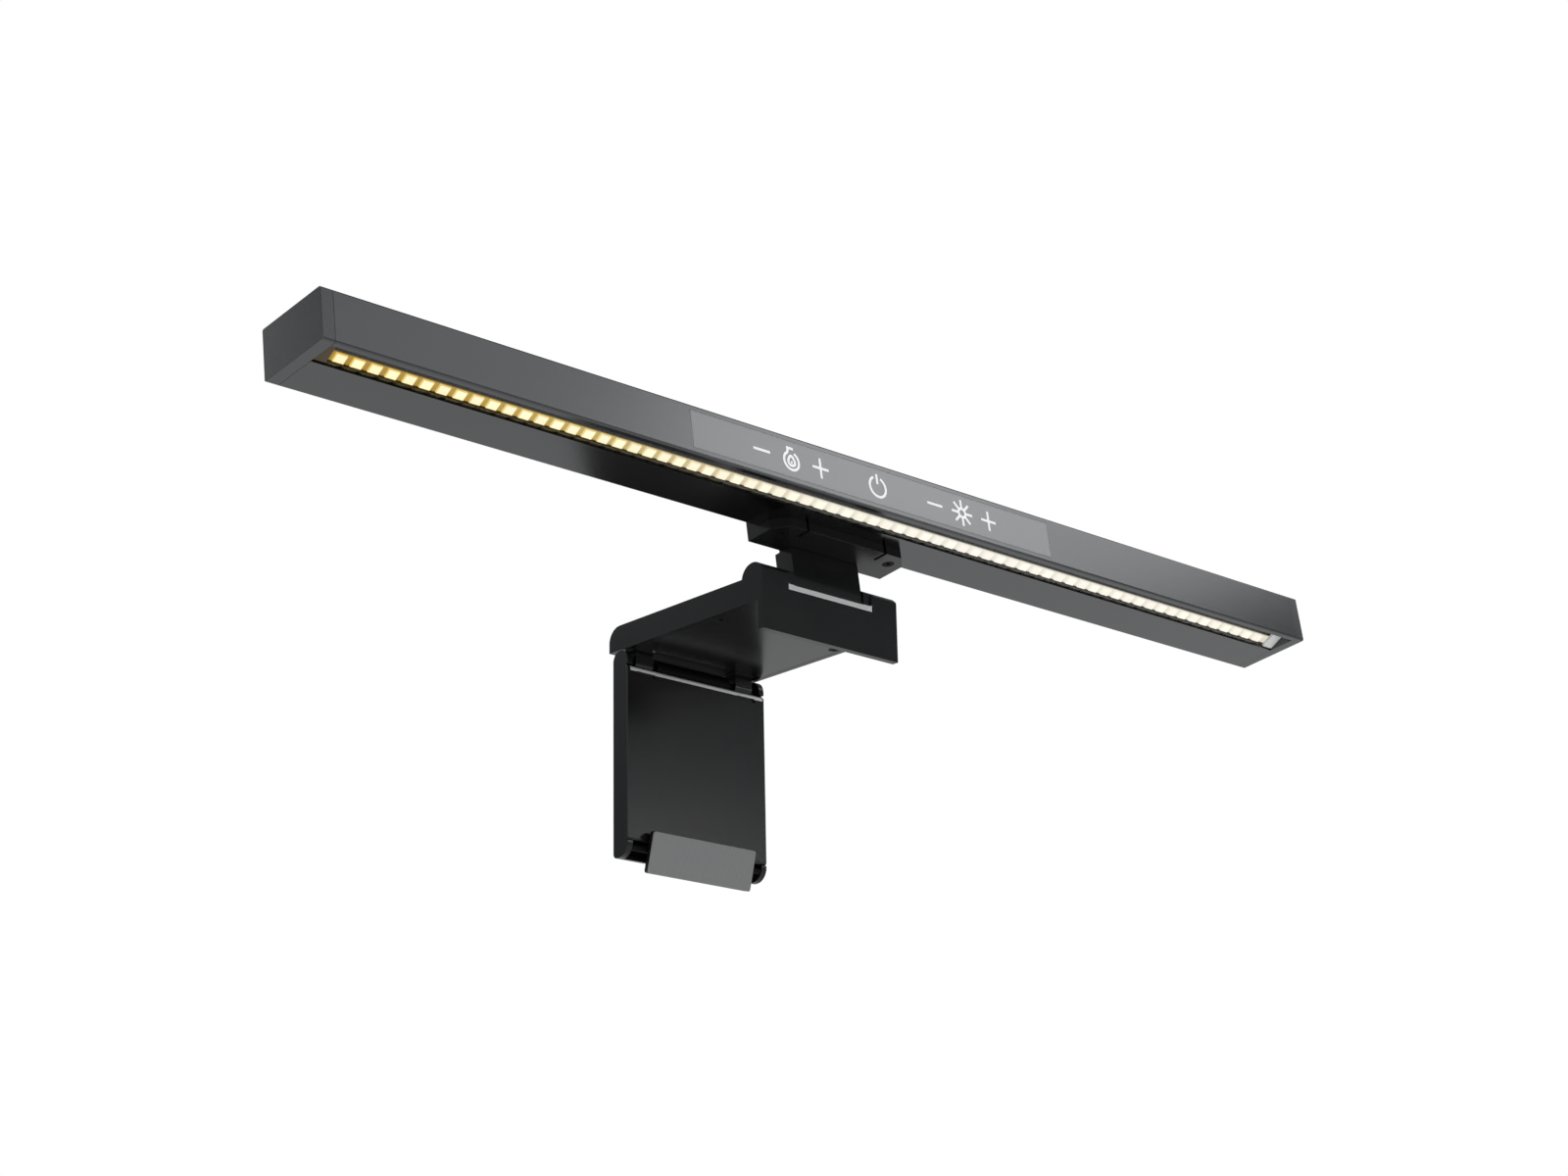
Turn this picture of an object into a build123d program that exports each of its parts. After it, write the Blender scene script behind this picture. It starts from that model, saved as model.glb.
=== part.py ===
from build123d import *
from math import cos, radians, sin
import os

# Monitor light bar, in millimetres: +X to the user's right, +Y away from the user, +Z up.
# The origin is the middle of the flat underside that rests on the monitor's top edge.
# The lamp leans back a little at rest, so its parts are drawn in a frame of their own that
# stands on the tilt axis and leans by rest_lean.

os.makedirs("parts", exist_ok=True)

# Clamp: platform, front lip and the barrel that carries the tilt shaft
clamp_width = 55.6
clamp_height = 8.05
clamp_wall = 2.0
clamp_rear_radius = 5.0
front_reach = 30.2          # rest face centre to the lip's front
rear_reach = 40.7           # rest face centre to the clamp's back
rest_relief = 0.5           # step up in the floor above the leg
rest_relief_lead = 1.5      # its start ahead of the leg's front
lip_drop = 9.05
lip_thickness = 2.3
lip_pad_thickness = 1.6
lip_pad_margin = 1.2
floor_thickness = 2.0
seam = 0.1                  # gap left round a cover let into a shell
cutter_overrun = 1.0        # how far a cutter runs past the face it opens
barrel_radius = 5.0
axis_behind_lip = 4.2       # lip's front to the tilt axis
axis_height = 7.25
boss_radius = 2.4
clamp_screw_y = -6.8
rib_thickness = 1.2
rib_y = (0.0, 18.0)

# Tilt hinge
rest_lean = 7.8
shaft_radius = 1.5
shaft_end_wall = 1.8        # barrel left beyond each end of the shaft
press_gap = 0.02
running_gap = 0.05
washer_thickness = 0.44
washer_radius = 2.9
washer_play = 0.03
knuckle_radius = 3.0
turning_gap = 0.4           # round the knuckle, and in the leg's hinge
pocket_width = 34.2
pocket_depth = 0.65
ledge_drop = 0.3            # ledge's top below the tilt axis
ledge_height = 2.0

# Neck and bracket
neck_width = 27.8
neck_thickness = 6.9
neck_foot = 2.6             # height above the axis where the neck reaches its full thickness
tab_thickness = 2.8
tab_width = 24.0
tab_height = 8.4
bar_forward = 17.3          # tilt axis forward to the bar's middle
bar_rise = 23.4             # tilt axis up to the bar's middle
bracket_width = 54.8
bracket_drop = 3.1          # bracket's underside below the bar's
bracket_reach = 9.9         # bracket's front ahead of the bar's back face
bracket_upstand = 6.0       # rear wall's height up the bar's back face
bracket_corner = 4.6
hub_width = 31.0
hub_groove = 1.0
hub_groove_depth = 1.4
hub_notch = 3.0             # full-height part of the groove, from the bracket's front
bracket_screw_x = 22.0
bracket_screw_inset = 4.8   # from the bar's back face
neck_screw_x = 7.5
neck_screw_rise = 4.0       # above the bar's underside
neck_screw_length = 5.4

# Screws
screw_radius = 1.0
screw_head_radius = 1.9
screw_head_height = 1.1
screw_drive_radius = 0.65
screw_drive_depth = 0.7
screw_tip_gap = 1.0         # hole left beyond a screw's end

# Bar
bar_length = 400.0
bar_depth = 26.7
bar_height = 15.7
bar_edge = 0.6
cap_thickness = 4.0
cap_plug = 6.0
cap_fit = 0.15
front_wall = 2.05
top_wall = 1.6
rear_wall = 1.6
bar_floor = 2.0
slot_width = 10.1
partition = 1.2
lens_rail = 0.7
lens_rail_height = 1.2

# Touch panel
panel_width = 148.5
panel_height = 12.1
panel_thickness = 1.0
panel_shift = -0.75
panel_proud = 0.1
panel_fit = 0.05
window_margin = 2.0
touch_board_thickness = 0.9

# Light engine, leaning forward of straight down by led_lean
led_lean = 23.6
led_pitch = 5.52
led_count = 69
led_length = 3.5
led_width = 2.8
led_thickness = 0.7
led_back = 2.19             # slot's rear wall forward to the emitters' middle
led_height = 2.31           # bar's underside up to the emitters' middle
board_back = 1.6
board_front = 4.5
board_thickness = 1.0
board_end_gap = 3.0
lens_gap = 0.3
lens_thickness = 0.8
lens_back = 1.7
lens_clear = 0.23           # lens's front corner to the slot's front wall
lens_block = 4.5
reflector_thickness = 0.4
reflector_lift = 0.2
reflector_gap = 0.2

# Electronics
driver_length = 110.0
driver_start = -8.0
driver_thickness = 1.2
driver_margin = 0.4
usb_x = 70.0
usb_width = 8.94
usb_height = 3.2
usb_depth = 7.3
usb_shell = 0.3
usb_back_wall = 1.0
usb_window_gap = 0.2
usb_tongue_width = 6.7
usb_tongue_thickness = 0.7
usb_tongue_recess = 0.8
chip_sizes = ((5.0, 5.0, 0.9), (4.0, 4.0, 0.8), (3.0, 3.0, 0.8))
chip_spacing = 18.0
coil_radius = 3.0
coil_height = 3.2
coil_x = 40.0

# Leg hinge
leg_axis_from_back = 5.9    # clamp's back to the leg hinge
leg_axis_drop = 3.75
leg_pin_radius = 1.25
lug_radius = 2.6
lug_width = 6.9
lug_x = 20.6
sleeve_radius = 2.3
sleeve_length = 30.0
sleeve_slit = 0.8
sleeve_grip = 1.0           # tail's hold on the rear wall

# Leg
leg_width = 56.6
leg_front = 3.5             # hinge axis to the leg's front face
leg_back = 3.4
leg_length = 62.1           # hinge axis to the leg's bottom
leg_side_wall = 2.0
leg_rear_wall = 1.6
leg_bottom_wall = 1.3
pin_end_wall = 0.8          # left side wall left over the pins' ends
leg_rear_top = 3.2          # rear wall's top below the hinge axis
leg_toe_radius = 4.5
leg_heel_radius = 1.5
plate_thickness = 1.2
plate_top = 1.6             # front plate's top below the hinge axis
plate_bottom = 5.0          # front plate's bottom above the leg's bottom
plate_chamfer = 1.0
plate_round = 1.0
plate_window_width = 7.8
plate_window_height = 1.4
plate_window_drop = 3.9     # window's middle below the hinge axis
plate_window_depth = 0.9
weight_width = 48.0
weight_height = 42.0
weight_thickness = 3.6
weight_drop = 30.0
weight_gap = 0.1

# Foot
foot_axis_behind = 1.5      # leg's front face to the foot hinge
foot_axis_rise = 3.1        # leg's bottom to the foot hinge
foot_pin_radius = 1.0
foot_knuckle_radius = 1.6
foot_knuckle_width = 7.0
foot_knuckle_x = 12.0
foot_width = 41.2
foot_height = 12.8
foot_lean = 14.6
foot_plate_thickness = 1.4
foot_pad_thickness = 1.0
foot_corner = 0.8
foot_drop = 0.5             # flap's middle below the foot hinge

# Places that follow from the sizes above
lip_front_y = -front_reach
clamp_back_y = rear_reach
lip_back_y = lip_front_y + lip_thickness
tilt_y = lip_front_y + axis_behind_lip
barrel_back_y = tilt_y + barrel_radius
cavity_front_y = barrel_back_y + seam
leg_y = clamp_back_y - leg_axis_from_back
leg_z = -leg_axis_drop
leg_front_y = leg_y - leg_front
leg_back_y = leg_y + leg_back
leg_bottom_z = leg_z - leg_length
pin_end_x = -leg_width / 2 + pin_end_wall
foot_y = leg_front_y + foot_axis_behind
foot_z = leg_bottom_z + foot_axis_rise
barrel_gap_width = neck_width + 2 * (washer_thickness + 2 * washer_play)
housing_length = bar_length - 2 * cap_thickness
bar_front = -bar_depth / 2
bar_back = bar_depth / 2
bar_top = bar_height / 2
bar_under = -bar_height / 2
slot_front = bar_front + front_wall
slot_back = slot_front + slot_width
bay_front = slot_back + partition
bay_back = bar_back - rear_wall
bay_floor = bar_under + bar_floor
bay_top = bar_top - top_wall
chamber_top = bay_top
bar_back_from_axis = bar_back - bar_forward
bar_under_from_axis = bar_rise + bar_under
bracket_under = bar_under_from_axis - bracket_drop
bracket_front = bar_back_from_axis - bracket_reach
bracket_back = neck_thickness / 2 - tab_thickness - seam
screw_length = bracket_drop + bar_floor

lean = Plane(
    origin=(0, tilt_y, axis_height),
    x_dir=(1, 0, 0),
    z_dir=(0, sin(radians(rest_lean)), cos(radians(rest_lean))),
)
bar = Plane(
    origin=lean.from_local_coords((0, -bar_forward, bar_rise)),
    x_dir=lean.x_dir,
    z_dir=lean.z_dir,
)
lens_corner = (lens_gap + lens_thickness) * sin(radians(led_lean))
lens_front = (slot_width - led_back - lens_clear - lens_corner) / cos(radians(led_lean))
led_middle = (0, slot_back - led_back, bar_under + led_height)
light = Plane(
    origin=bar.from_local_coords(led_middle),
    x_dir=bar.x_dir,
    z_dir=bar.y_dir * -sin(radians(led_lean)) - bar.z_dir * cos(radians(led_lean)),
)
flap = Plane(
    origin=(0, foot_y, foot_z),
    x_dir=(1, 0, 0),
    z_dir=(0, -cos(radians(foot_lean)), -sin(radians(foot_lean))),
)


def across(frame, x):
    """Plane square to a frame's x axis: its sketches run rearwards and up."""
    return Plane(origin=frame.from_local_coords((x, 0, 0)), x_dir=frame.y_dir, z_dir=frame.x_dir)


def level(frame, z):
    """Plane parallel to a frame's floor at height z: its sketches run right and rearwards."""
    return Plane(origin=frame.from_local_coords((0, 0, z)), x_dir=frame.x_dir, z_dir=frame.z_dir)


def facing(frame, y):
    """Plane that faces forwards at depth y: its sketches run right and up."""
    return Plane(origin=frame.from_local_coords((0, y, 0)), x_dir=frame.x_dir, z_dir=-frame.y_dir)


def span(low, high, bottom, top, mode=Mode.ADD):
    """Rectangle between two values each way, in the sketch being drawn."""
    with Locations(((low + high) / 2, (bottom + top) / 2)):
        Rectangle(high - low, top - bottom, mode=mode)


def finish(piece, label):
    """Name a finished piece and write its STEP file."""
    piece.part.label = label
    export_step(piece.part, f"parts/{label}.step")


def screws(label, plane, places, length):
    """Countersunk screws with heads flush with the plane and shanks running along its -z."""
    with BuildPart(plane) as group:
        with Locations(*places):
            Cylinder(screw_radius, length, align=(Align.CENTER, Align.CENTER, Align.MAX))
            Cone(
                screw_radius,
                screw_head_radius,
                screw_head_height,
                align=(Align.CENTER, Align.CENTER, Align.MAX),
            )
            Cylinder(
                screw_drive_radius,
                screw_drive_depth,
                align=(Align.CENTER, Align.CENTER, Align.MAX),
                mode=Mode.SUBTRACT,
            )
    finish(group, label)


def screw_holes(depth):
    """Cut countersunk clearance holes of a given depth at the current places."""
    Cylinder(
        screw_radius + press_gap,
        depth,
        align=(Align.CENTER, Align.CENTER, Align.MAX),
        mode=Mode.SUBTRACT,
    )
    Cone(
        screw_radius + press_gap,
        screw_head_radius + press_gap,
        screw_head_height,
        align=(Align.CENTER, Align.CENTER, Align.MAX),
        mode=Mode.SUBTRACT,
    )


# ---------------------------------------------------------------- clamp
clamp_screw_x = clamp_width / 2 - clamp_wall - boss_radius + seam
clamp_screw_places = [(x, -clamp_screw_y) for x in (-clamp_screw_x, clamp_screw_x)]
underside = Plane(origin=(0, 0, 0), x_dir=(1, 0, 0), z_dir=(0, 0, -1))
clamp_hole_depth = clamp_height - clamp_wall / 2
cavity_back_y = clamp_back_y - clamp_wall
cavity_half_width = clamp_width / 2 - clamp_wall

with BuildPart() as clamp_top:
    with BuildSketch(Plane.YZ.offset(-clamp_width / 2)) as clamp_side:
        span(lip_front_y, clamp_back_y, 0, clamp_height)
        rear_top = clamp_side.vertices().group_by(Axis.Y)[-1].sort_by(Axis.X)[-1]
        fillet(rear_top, clamp_rear_radius)
        span(lip_front_y, lip_back_y, -lip_drop, clamp_height)
        with Locations((tilt_y, axis_height)):
            Circle(barrel_radius)
        span(tilt_y - 2 * barrel_radius, lip_front_y, 0, 2 * clamp_height, mode=Mode.SUBTRACT)
    extrude(amount=clamp_width)
    # open underneath, behind the barrel
    with BuildSketch(Plane.YZ.offset(-cavity_half_width)) as clamp_cavity:
        span(cavity_front_y, cavity_back_y, -seam, clamp_height - clamp_wall)
        roof_back = clamp_cavity.vertices().group_by(Axis.Y)[-1].sort_by(Axis.X)[-1]
        fillet(roof_back, clamp_rear_radius - clamp_wall)
    extrude(amount=2 * cavity_half_width, mode=Mode.SUBTRACT)
    # screw bosses and cross ribs under the roof
    with BuildSketch(Plane.XY.offset(floor_thickness)):
        with Locations(*[(x, clamp_screw_y) for x in (-clamp_screw_x, clamp_screw_x)]):
            Circle(boss_radius)
        for y in rib_y:
            with Locations((0, y)):
                Rectangle(2 * cavity_half_width, rib_thickness)
    extrude(amount=clamp_height - clamp_wall - floor_thickness)
    with BuildSketch(Plane.XY):
        with Locations(*[(x, clamp_screw_y) for x in (-clamp_screw_x, clamp_screw_x)]):
            Circle(screw_radius + press_gap)
    extrude(amount=clamp_hole_depth, mode=Mode.SUBTRACT)
    # gap in the barrel where the knuckle turns
    with BuildSketch(Plane.YZ.offset(-barrel_gap_width / 2)):
        with Locations((tilt_y, axis_height)):
            Circle(knuckle_radius + turning_gap)
        span(
            lip_front_y - cutter_overrun,
            barrel_back_y,
            axis_height - ledge_drop,
            axis_height + 2 * barrel_radius,
        )
    extrude(amount=barrel_gap_width, mode=Mode.SUBTRACT)
    # shallow pocket in front of the neck, with a sloped ledge below it
    with BuildSketch(Plane.YZ.offset(-pocket_width / 2)):
        with BuildLine():
            ledge_z = axis_height - ledge_drop
            Polyline(
                (lip_front_y - cutter_overrun, ledge_z - ledge_height),
                (lip_front_y, ledge_z - ledge_height),
                (lip_front_y + pocket_depth, ledge_z),
                (lip_front_y + pocket_depth, axis_height + 2 * barrel_radius),
                (lip_front_y - cutter_overrun, axis_height + 2 * barrel_radius),
                close=True,
            )
        make_face()
    extrude(amount=pocket_width, mode=Mode.SUBTRACT)
    # bore for the tilt shaft, blind at both ends
    with BuildSketch(Plane.YZ.offset(-clamp_width / 2 + shaft_end_wall)):
        with Locations((tilt_y, axis_height)):
            Circle(shaft_radius + press_gap)
    extrude(amount=clamp_width - 2 * shaft_end_wall, mode=Mode.SUBTRACT)
finish(clamp_top, "clamp_top")

with BuildPart() as clamp_floor:
    with BuildSketch(Plane.XY):
        span(
            -cavity_half_width + seam,
            cavity_half_width - seam,
            cavity_front_y + seam,
            cavity_back_y - seam,
        )
    extrude(amount=floor_thickness - seam)
    # relief above the leg, so that the rest face ends in front of it
    with BuildSketch(Plane.XY):
        span(-cavity_half_width, cavity_half_width, leg_front_y - rest_relief_lead, cavity_back_y)
    extrude(amount=rest_relief, mode=Mode.SUBTRACT)
    for side in (-1, 1):
        with BuildSketch(Plane.YZ.offset(side * lug_x - lug_width / 2)):
            span(leg_y - lug_radius, leg_y + lug_radius, leg_z, floor_thickness / 2)
            with Locations((leg_y, leg_z)):
                Circle(lug_radius)
        extrude(amount=lug_width)
    with BuildSketch(Plane.YZ.offset(-clamp_width / 2)):
        with Locations((leg_y, leg_z)):
            Circle(leg_pin_radius + press_gap)
    extrude(amount=clamp_width, mode=Mode.SUBTRACT)
    with Locations(underside):
        with Locations(*clamp_screw_places):
            screw_holes(2 * floor_thickness)
finish(clamp_floor, "clamp_floor")

screws("clamp_screws", underside, clamp_screw_places, clamp_hole_depth - screw_tip_gap)

with BuildPart() as lip_pad:
    with BuildSketch(Plane.XY.offset(-lip_drop + lip_pad_margin)):
        span(
            -clamp_width / 2 + lip_pad_margin,
            clamp_width / 2 - lip_pad_margin,
            lip_back_y,
            lip_back_y + lip_pad_thickness,
        )
    extrude(amount=lip_drop - lip_pad_margin)
    fillet(lip_pad.edges().filter_by(Axis.X).group_by(Axis.Y)[-1].group_by(Axis.Z)[0], lip_pad_margin / 2)
finish(lip_pad, "lip_pad")

with BuildPart() as tilt_shaft:
    with BuildSketch(Plane.YZ.offset(-clamp_width / 2 + shaft_end_wall + seam)):
        with Locations((tilt_y, axis_height)):
            Circle(shaft_radius)
    extrude(amount=clamp_width - 2 * (shaft_end_wall + seam))
finish(tilt_shaft, "tilt_shaft")

with BuildPart() as tilt_washers:
    for start in (
        -neck_width / 2 - washer_play - washer_thickness,
        neck_width / 2 + washer_play,
    ):
        with BuildSketch(Plane.YZ.offset(start)):
            with Locations((tilt_y, axis_height)):
                Circle(washer_radius)
                Circle(shaft_radius + press_gap, mode=Mode.SUBTRACT)
        extrude(amount=washer_thickness)
finish(tilt_washers, "tilt_washers")

with BuildPart() as leg_pin:
    with BuildSketch(Plane.YZ.offset(pin_end_x + seam)):
        with Locations((leg_y, leg_z)):
            Circle(leg_pin_radius)
    extrude(amount=leg_width / 2 - pin_end_x - 2 * seam)
finish(leg_pin, "leg_pin")

# ---------------------------------------------------------------- neck and bracket
neck_back = neck_thickness / 2
neck_screw_z = bar_under_from_axis + neck_screw_rise
neck_screw_places = [(-neck_screw_x, neck_screw_z), (neck_screw_x, neck_screw_z)]
neck_screw_plane = Plane(
    origin=lean.from_local_coords((0, neck_back, 0)),
    x_dir=-lean.x_dir,
    z_dir=lean.y_dir,
)
tab_top = bracket_under + tab_height
with BuildPart() as neck:
    with BuildSketch(across(lean, -neck_width / 2)):
        Circle(knuckle_radius)
        with BuildLine():
            Polyline(
                (-knuckle_radius, 0),
                (knuckle_radius, 0),
                (neck_back, neck_foot),
                (neck_back, bracket_under - seam),
                (-neck_back, bracket_under - seam),
                (-neck_back, neck_foot),
                close=True,
            )
        make_face()
        Circle(shaft_radius + running_gap, mode=Mode.SUBTRACT)
    extrude(amount=neck_width)
    with BuildSketch(across(lean, -tab_width / 2)):
        span(neck_back - tab_thickness, neck_back, neck_foot, tab_top)
    extrude(amount=tab_width)
    with Locations(neck_screw_plane):
        with Locations(*neck_screw_places):
            screw_holes(2 * tab_thickness)
finish(neck, "neck")

screws("neck_screws", neck_screw_plane, neck_screw_places, neck_screw_length)

bracket_screw_y = bar_back_from_axis - bracket_screw_inset
bracket_screw_plane = Plane(
    origin=lean.from_local_coords((0, bracket_screw_y, bracket_under)),
    x_dir=lean.x_dir,
    z_dir=-lean.z_dir,
)
bracket_screw_places = [(-bracket_screw_x, 0), (bracket_screw_x, 0)]
with BuildPart() as bar_bracket:
    with BuildSketch(level(lean, bracket_under)):
        with BuildLine():
            Polyline(
                (-bracket_width / 2, bracket_back),
                (bracket_width / 2, bracket_back),
                (bracket_width / 2, bracket_front + bracket_corner),
                (bracket_width / 2 - bracket_corner, bracket_front),
                (-bracket_width / 2 + bracket_corner, bracket_front),
                (-bracket_width / 2, bracket_front + bracket_corner),
                close=True,
            )
        make_face()
    extrude(amount=bracket_drop)
    with BuildSketch(across(lean, -bracket_width / 2)):
        span(bar_back_from_axis, bracket_back, bracket_under, bar_under_from_axis + bracket_upstand)
    extrude(amount=bracket_width)
    # grooves that set the hub off from the two wings
    with BuildSketch(level(lean, bracket_under)):
        for side in (-1, 1):
            with Locations((side * (hub_width + hub_groove) / 2, bracket_front)):
                Rectangle(hub_groove, bracket_reach)
    extrude(amount=hub_groove_depth, mode=Mode.SUBTRACT)
    with BuildSketch(level(lean, bracket_under)):
        for side in (-1, 1):
            with Locations((side * (hub_width + hub_groove) / 2, bracket_front)):
                Rectangle(hub_groove, 2 * hub_notch)
    extrude(amount=bracket_drop, mode=Mode.SUBTRACT)
    with Locations(bracket_screw_plane):
        with Locations(*bracket_screw_places):
            screw_holes(2 * bracket_drop)
    with Locations(neck_screw_plane):
        with Locations(*neck_screw_places):
            screw_holes(3 * tab_thickness)
finish(bar_bracket, "bar_bracket")

screws("bracket_screws", bracket_screw_plane, bracket_screw_places, screw_length - seam)

# ---------------------------------------------------------------- bar housing and caps
panel_x = panel_shift
window_width = panel_width - 2 * window_margin
window_height = panel_height - 2 * window_margin
bracket_screw_on_bar = [(x, bar_back - bracket_screw_inset) for x in (-bracket_screw_x, bracket_screw_x)]

with BuildPart() as bar_housing:
    with BuildSketch(across(bar, -housing_length / 2)):
        RectangleRounded(bar_depth, bar_height, bar_edge)
        span(slot_front, slot_back, bar_under - cutter_overrun, chamber_top, mode=Mode.SUBTRACT)
        span(bay_front, bay_back, bay_floor, bay_top, mode=Mode.SUBTRACT)
        span(slot_back - lens_rail, slot_back, bar_under, bar_under + lens_rail_height)
    extrude(amount=housing_length)
    # recess and window for the touch panel
    with BuildSketch(facing(bar, bar_front)):
        with Locations((panel_x, 0)):
            Rectangle(panel_width + 2 * panel_fit, panel_height + 2 * panel_fit)
    extrude(amount=-(panel_thickness + panel_fit - panel_proud), mode=Mode.SUBTRACT)
    with BuildSketch(facing(bar, bar_front)):
        with Locations((panel_x, 0)):
            Rectangle(window_width, window_height)
    extrude(amount=-front_wall, mode=Mode.SUBTRACT)
    # USB inlet in the back face
    with BuildSketch(facing(bar, bay_back)):
        with Locations((usb_x, 0)):
            RectangleRounded(
                usb_width + 2 * usb_window_gap,
                usb_height + 2 * usb_window_gap,
                usb_height / 2,
            )
    extrude(amount=-rear_wall, mode=Mode.SUBTRACT)
    # threads for the bracket's screws
    with BuildSketch(level(bar, bar_under)):
        with Locations(*bracket_screw_on_bar):
            Circle(screw_radius + press_gap)
    extrude(amount=bar_floor, mode=Mode.SUBTRACT)
finish(bar_housing, "bar_housing")


def end_cap(label, side):
    """Flush cap with two plugs that press into the ends of the extrusion."""
    face_x = side * housing_length / 2
    with BuildPart() as cap:
        with BuildSketch(across(bar, face_x)):
            RectangleRounded(bar_depth, bar_height, bar_edge)
        extrude(amount=side * cap_thickness)
        with BuildSketch(across(bar, face_x)):
            span(bay_front + cap_fit, bay_back - cap_fit, bay_floor + cap_fit, bay_top - cap_fit)
            span(
                slot_front + cap_fit,
                slot_back - cap_fit,
                chamber_top - cap_fit - top_wall,
                chamber_top - cap_fit,
            )
        extrude(amount=-side * cap_plug)
    finish(cap, label)


end_cap("end_cap_left", -1)
end_cap("end_cap_right", 1)

# ---------------------------------------------------------------- touch panel
with BuildPart() as touch_panel:
    with BuildSketch(facing(bar, bar_front - panel_proud)):
        with Locations((panel_x, 0)):
            Rectangle(panel_width, panel_height)
    extrude(amount=-panel_thickness)
finish(touch_panel, "touch_panel")

with BuildPart() as touch_board:
    with BuildSketch(facing(bar, bar_front + panel_thickness - panel_proud + panel_fit)):
        with Locations((panel_x, 0)):
            Rectangle(window_width - 2 * seam, window_height - 2 * seam)
    extrude(amount=-touch_board_thickness)
finish(touch_board, "touch_board")

# ---------------------------------------------------------------- light engine
board_length = housing_length - 2 * board_end_gap
with BuildPart() as led_board:
    with BuildSketch(across(light, -board_length / 2)):
        span(-board_back, board_front, -led_thickness - board_thickness, -led_thickness)
    extrude(amount=board_length)
finish(led_board, "led_board")

first_led = -(led_count - 1) / 2
for label, parity in (("leds_warm", 0), ("leds_cool", 1)):
    with BuildPart() as leds:
        with BuildSketch(level(light, -led_thickness)):
            with Locations(*[((first_led + i) * led_pitch, 0) for i in range(parity, led_count, 2)]):
                Rectangle(led_length, led_width)
        extrude(amount=led_thickness)
    finish(leds, label)

lens_length = housing_length - 2 * (lens_block + seam)
with BuildPart() as light_lens:
    with BuildSketch(across(light, -lens_length / 2)):
        span(-lens_back, lens_front, lens_gap, lens_gap + lens_thickness)
    extrude(amount=lens_length)
finish(light_lens, "light_lens")

with BuildPart() as lens_blocks:
    for start in (-housing_length / 2, housing_length / 2 - lens_block + seam):
        with BuildSketch(across(light, start)):
            span(-lens_back, lens_front, lens_gap, lens_gap + lens_thickness)
        extrude(amount=lens_block - seam)
finish(lens_blocks, "lens_blocks")

with BuildPart() as reflector:
    with BuildSketch(across(light, -board_length / 2)):
        span(
            board_front + reflector_gap,
            lens_front,
            -reflector_lift - reflector_thickness,
            -reflector_lift,
        )
    extrude(amount=board_length)
finish(reflector, "reflector")

# ---------------------------------------------------------------- electronics in the rear bay
driver_top = -usb_height / 2 - press_gap
driver_bottom = driver_top - driver_thickness
driver_front = bay_front + driver_margin
driver_back = bay_back - driver_margin
with BuildPart() as driver_board:
    with BuildSketch(level(bar, driver_bottom)):
        span(driver_start, driver_start + driver_length, driver_front, driver_back)
    extrude(amount=driver_thickness)
finish(driver_board, "driver_board")

with BuildPart() as driver_chips:
    for number, (chip_length, chip_width, chip_height) in enumerate(chip_sizes):
        with BuildSketch(level(bar, driver_top)):
            with Locations((number * chip_spacing / 2, (driver_front + driver_back) / 2)):
                Rectangle(chip_length, chip_width)
        extrude(amount=chip_height)
finish(driver_chips, "driver_chips")

with BuildPart() as power_coil:
    with BuildSketch(level(bar, driver_top)):
        with Locations((coil_x, (driver_front + driver_back) / 2)):
            Circle(coil_radius)
    extrude(amount=coil_height)
finish(power_coil, "power_coil")

usb_mouth = bar_back - seam
with BuildPart() as usb_socket:
    with BuildSketch(facing(bar, usb_mouth - usb_depth)):
        with Locations((usb_x, 0)):
            RectangleRounded(usb_width, usb_height, usb_height / 2 - seam)
    extrude(amount=-usb_depth)
    with BuildSketch(facing(bar, usb_mouth - usb_depth + usb_back_wall)):
        with Locations((usb_x, 0)):
            RectangleRounded(
                usb_width - 2 * usb_shell,
                usb_height - 2 * usb_shell,
                usb_height / 2 - usb_shell - seam,
            )
    extrude(amount=-usb_depth, mode=Mode.SUBTRACT)
    with BuildSketch(facing(bar, usb_mouth - usb_depth + usb_back_wall)):
        with Locations((usb_x, 0)):
            Rectangle(usb_tongue_width, usb_tongue_thickness)
    extrude(amount=-(usb_depth - usb_back_wall - usb_tongue_recess))
finish(usb_socket, "usb_socket")

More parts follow.
